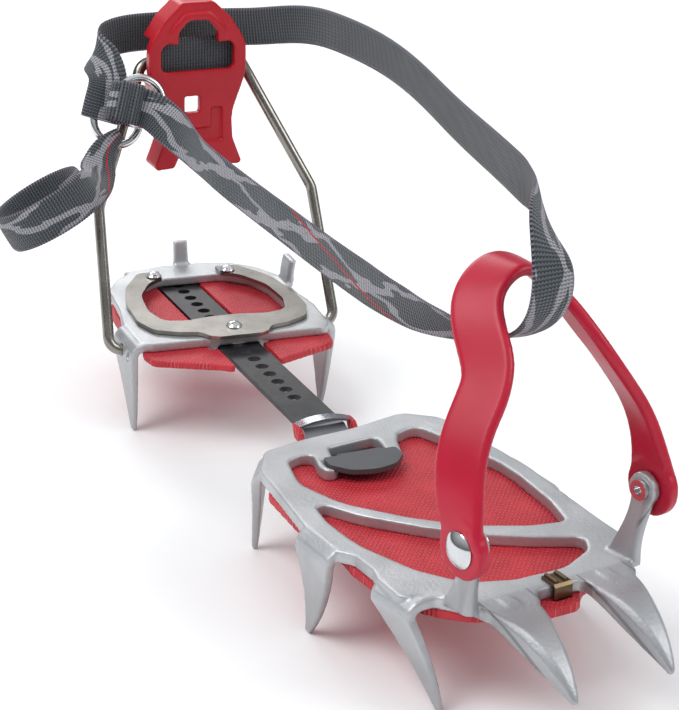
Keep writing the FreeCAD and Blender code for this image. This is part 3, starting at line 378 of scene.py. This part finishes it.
def webbing(name, node, body, route, thick=0.0014, step=0.00059, ribs=0.0, start=0.0, saw=0.010, back=1):
    """Flat strap along (point, width direction, width) stops, with UV along and across it.

    saw is the toothed edge, ribs the swell of each rib, and back the material slot of the second side.
    """
    points = np.array([stop[0] for stop in route])
    wides = np.array([stop[1] for stop in route], float)
    widths = np.array([[stop[2]] for stop in route])
    marks = np.concatenate([[0], np.cumsum(np.linalg.norm(np.diff(points, axis=0), axis=1))])
    dense = np.linspace(0, marks[-1], 4000)
    track = natural(marks, points, dense)
    length = np.concatenate([[0], np.cumsum(np.linalg.norm(np.diff(track, axis=0), axis=1))])
    count = int(length[-1] / step)
    at = np.interp(np.linspace(0, length[-1], count + 1), length, dense)
    centre = natural(marks, points, at)
    run = np.gradient(centre, axis=0)
    run /= np.linalg.norm(run, axis=1)[:, None]
    wide = np.stack([np.interp(at, marks, wides[:, i]) for i in range(3)], axis=1)
    wide -= run * np.sum(wide * run, axis=1)[:, None]
    wide /= np.linalg.norm(wide, axis=1)[:, None]
    # ease the twist between stops
    kernel = np.hanning(25)
    kernel /= kernel.sum()
    if count > 60:
        padded = np.pad(wide, ((12, 12), (0, 0)), mode="edge")
        wide = np.stack([np.convolve(padded[:, i], kernel, "valid") for i in range(3)], axis=1)
        wide -= run * np.sum(wide * run, axis=1)[:, None]
        wide /= np.linalg.norm(wide, axis=1)[:, None]
    out = np.cross(run, wide)
    span = np.interp(at, marks, widths[:, 0])
    side = np.linspace(-1, 1, FACETS + 1)
    side = np.sign(side) * np.abs(side) ** 0.8
    lift = (1 - np.abs(side) ** 5) ** 0.5
    lift = np.maximum(lift, 0.0)
    ring = [(v, h) for v, h in zip(side, lift)] + [(v, -h) for v, h in zip(side[-2:0:-1], lift[-2:0:-1])]
    along = np.linspace(0, length[-1], count + 1)
    wiggle = 1 + saw * np.where(np.arange(count + 1) % 2 == 0, 1, -1)
    swell = 1 + ribs * np.cos(2 * pi * along / 0.0016)
    verts = []
    for i in range(count + 1):
        for v, h in ring:
            verts.append(centre[i] + wide[i] * (v * span[i] / 2 * wiggle[i]) + out[i] * (h * thick / 2 * swell[i]))
    size = len(ring)
    faces, slots, uvs = [], [], []
    for i in range(count):
        for j in range(size):
            k = (j + 1) % size
            faces.append((i * size + j, i * size + k, (i + 1) * size + k, (i + 1) * size + j))
            slots.append(1 - back if j < FACETS else back)
            for row, col in ((i, j), (i, k), (i + 1, k), (i + 1, j)):
                uvs.append(((start + along[row]) * 10, (ring[col][0] + 1) / 2))
    for row, order in ((0, range(size)), (count, range(size - 1, -1, -1))):
        faces.append(tuple(row * size + j for j in order))
        slots.append(0)
        for j in order:
            uvs.append(((start + along[row]) * 10, (ring[j][0] + 1) / 2))
    mesh = bpy.data.meshes.new(name)
    mesh.from_pydata([tuple(v) for v in verts], [], faces)
    layer = mesh.uv_layers.new(name="strap")
    layer.data.foreach_set("uv", np.array(uvs, dtype=np.float32).ravel())
    mesh.materials.append(PLAIN)
    mesh.materials.append(PRINTED)
    mesh.polygons.foreach_set("material_index", slots)
    mesh.polygons.foreach_set("use_smooth", [True] * len(faces))
    mesh.update()
    piece = bpy.data.objects.new(name, mesh)
    bpy.context.collection.objects.link(piece)
    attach(piece, body)
    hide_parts(node)
    return piece


W = 0.015
FOLD_R, FOLD_MID = 2.75, 13.4
long_route = [(in_bail(-42.2, 88.0, 8.6), FLAP), (in_bail(-39.2, 95.9, 8.6), FLAP),
              (in_bail(-36.9, 102.6, 8.5), way(0.05, 0.99, -0.1)),
              (in_bail(-37.4, 109.8, 6.0), way(-0.15, 0.82, 0.57)),
              (turned(-165.0, -38.0, 140.5), way(0, 0.25, 0.97))]
long_route += [(turned(*p), UP) for p in ((-171.0, -31.0, 143.0), (-176.0, -16.0, 143.5), (-178.0, 0.0, 143.0),
                                          (-175.5, 16.0, 143.5), (-168.0, 28.0, 144.5))]
far_span = [(-150, 59, 147), (-118, 62, 149.5), (-84, 59, 149.5), (-45, 51, 148), (-8, 40.5, 146), (35, 27, 146),
            (64, 17, 146.5)]
loop_span = [((84, 9, 146.0), (0, -0.3, 0.95)), ((99, 0, 142.5), (0, -0.8, 0.6)), ((106, -2, 134), (0, -1, 0.2)),
             ((104.2, -1.5, 121.4), (0, -1, 0)), ((93.4, -1.8, 110.6), (0, -1, 0)),
             ((79, -3.4, 106.0), (0, -0.9, 0.3)), ((64, -7, 104.3), (0, -0.6, 0.8)),
             ((45, -9.6, 103.6), (0, -0.2, 0.97))]
near_span = [(20, -9.3, 103.7), (-10, -6.8, 103.9), (-40, -5.5, 105.7), (-72, -4.2, 107.8), (-105, -3.1, 111.2)]
long_route += [(here(*p), UP) for p in far_span]
long_route += [(here(*p), np.array(w, float)) for p, w in loop_span]
long_route += [(here(*p), UP) for p in near_span]
long_route += [(in_bail(*p), FOLD) for p in ((-20.0, 84.2, 20.4), (-24.6, 89.3, 17.4), (-30.4, 91.8, 16.3))]
for angle in (90, 45, 0, -45, -90):
    reach, rise = FOLD_R * cos(radians(angle)), FOLD_R * sin(radians(angle))
    long_route.append((in_bail(-36.0 - 0.94 * reach, 93.9 + 0.34 * reach, FOLD_MID + rise), FOLD))
long_route.append((in_bail(-27.0, 90.7, FOLD_MID - FOLD_R), FOLD))
webbing("webbing_main", "strap_long", "strap", [(p, w, W) for p, w in long_route])

patch_route = [(in_bail(a, b, FOLD_MID + FOLD_R + 2.1), FOLD, 0.016) for a, b in ((-36.6, 94.1), (-28.0, 91.0))]
webbing("webbing_patch", "strap_patch", "strap", patch_route, thick=0.0020, step=0.0002, ribs=0.22, saw=0.0)

bar_x, bar_z = WIRE_X - WIRE_RISE * sin(LEAN) + 4.6, WIRE_Z + WIRE_RISE * cos(LEAN) + 2.4
webbing("webbing_in_lever", "strap_slot", "lever", [(turned(bar_x, y, bar_z), UP, W) for y in (-16.6, 0, 16.6)])

COIL_MID = here(-137.0, -52.0, 91.0)
COIL_UP = np.array((-0.252, -0.426, 0.869))
COIL_SIDE = np.array((0.280, 0.828, 0.485))
COIL_NEAR = np.cross(COIL_SIDE, COIL_UP)
tail_route = [(in_bail(-35.6, 82.0, 11.2), way(0, 1, 0), 0.005), (in_bail(-42.0, 77.4, 12.0), way(0, 1, -0.1), 0.009),
              (in_bail(-47.2, 69.3, 16.0), way(0.1, 1, -0.3), 0.014)]
for i in range(14):
    angle, radius = radians(28 + 30 * i), (18.0 + 2.2 - 0.34 * i) / 1000.0
    tail_route.append((COIL_MID + COIL_SIDE * radius * cos(angle) + COIL_NEAR * radius * sin(angle), -COIL_UP, W))
webbing("webbing_tail", "strap_tail", "strap", tail_route, start=0.31, back=0)

# ------------------------------------------------------------------ floor and light
floor_mesh = bpy.data.meshes.new("floor")
floor_mesh.from_pydata([(-4, -4, 0), (4, -4, 0), (4, 4, 0), (-4, 4, 0)], [], [(0, 1, 2, 3)])
floor = bpy.data.objects.new("floor", floor_mesh)
bpy.context.collection.objects.link(floor)
floor.location.z = -0.0004
f = Nodes("floor_white")
floor_rough = f.math("MULTIPLY_ADD", f.noise(f.place(), 8.0), 0.05, 0.8)
floor_mesh.materials.append(f.finish(color=(0.93, 0.935, 0.94, 1), rough=floor_rough))

world = bpy.data.worlds.new("studio")
world.use_nodes = True
tree = world.node_tree
sky = tree.nodes["Background"]
coord = tree.nodes.new("ShaderNodeTexCoord")
split = tree.nodes.new("ShaderNodeSeparateXYZ")
ramp = tree.nodes.new("ShaderNodeValToRGB")
ramp.color_ramp.elements[0].position = 0.02
ramp.color_ramp.elements[0].color = (0.20, 0.205, 0.215, 1)
ramp.color_ramp.elements[1].position = 0.75
ramp.color_ramp.elements[1].color = (0.95, 0.975, 1.0, 1)
tree.links.new(coord.outputs["Generated"], split.inputs[0])
tree.links.new(split.outputs[2], ramp.inputs[0])
tree.links.new(ramp.outputs[0], sky.inputs["Color"])
sky.inputs["Strength"].default_value = 0.75
bpy.context.scene.world = world
bpy.context.scene.view_settings.view_transform = "Standard"


def lamp(name, at, aim, size, power, color=(1, 1, 1)):
    data = bpy.data.lights.new(name, "AREA")
    data.shape = "RECTANGLE"
    data.size, data.size_y = size
    data.energy = power
    data.color = color
    lamp_object = bpy.data.objects.new(name, data)
    lamp_object.location = at
    lamp_object.rotation_euler = (Vector(aim) - Vector(at)).to_track_quat("-Z", "Y").to_euler()
    bpy.context.collection.objects.link(lamp_object)


lamp("key", (-0.1, -0.9, 1.3), (0, 0, 0.05), (0.9, 0.9), 13)
lamp("side", (0.9, 0.9, 0.9), (0, 0, 0.05), (0.7, 0.7), 6)
lamp("rear", (-1.3, 0.3, 0.9), (0, 0, 0.08), (0.8, 0.5), 6)
